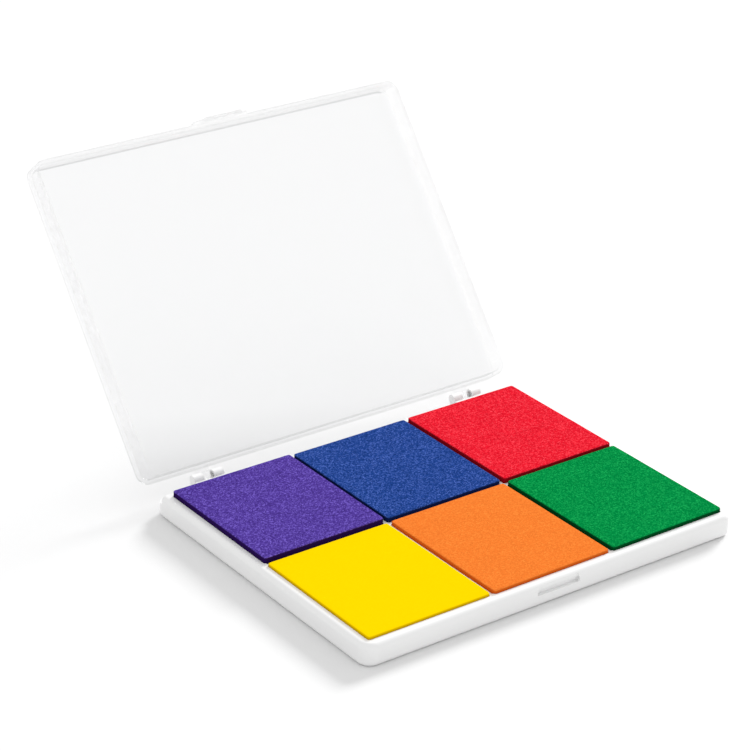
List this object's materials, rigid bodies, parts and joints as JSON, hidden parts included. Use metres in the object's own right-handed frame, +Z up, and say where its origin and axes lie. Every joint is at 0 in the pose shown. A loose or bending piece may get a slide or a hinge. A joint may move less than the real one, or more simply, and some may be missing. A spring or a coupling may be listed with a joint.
{
  "type": "ink pad",
  "caption": "Ink pad for rubber stamping: inked foam pads of different colours in a shallow tray with a clear hinged lid.",
  "frame": {"origin": "centre of the tray's flat underside", "axes": "+X to the right along the front edge, +Y towards the hinge, +Z up"},
  "size_m": [0.1612, 0.2131, 0.1104],
  "materials": {
    "tray_plastic": "glossy white",
    "clear_plastic": "clear, polished",
    "foam_purple": "inked foam, fine sparkling grain",
    "foam_blue": "inked foam, fine sparkling grain",
    "foam_red": "inked foam, fine sparkling grain",
    "foam_yellow": "inked foam, fine sparkling grain",
    "foam_orange": "inked foam, fine sparkling grain",
    "foam_green": "inked foam, fine sparkling grain",
    "adhesive": "matte, tacky sheet"
  },
  "bodies": {
    "base": {"tray": "tray_plastic", "pad_purple": "foam_purple", "pad_blue": "foam_blue", "pad_red": "foam_red", "pad_yellow": "foam_yellow", "pad_orange": "foam_orange", "pad_green": "foam_green", "adhesive_purple": "adhesive", "adhesive_blue": "adhesive", "adhesive_red": "adhesive", "adhesive_yellow": "adhesive", "adhesive_orange": "adhesive", "adhesive_green": "adhesive"},
    "lid": {"lid": "clear_plastic"}
  },
  "joints": [
    {"name": "lid_hinge", "type": "hinge", "parent": "base", "child": "lid", "pos_m": [0, 0.0632, 0.0085], "axis": [-1, 0, 0], "range_deg": [-128.5, 0]}
  ]
}
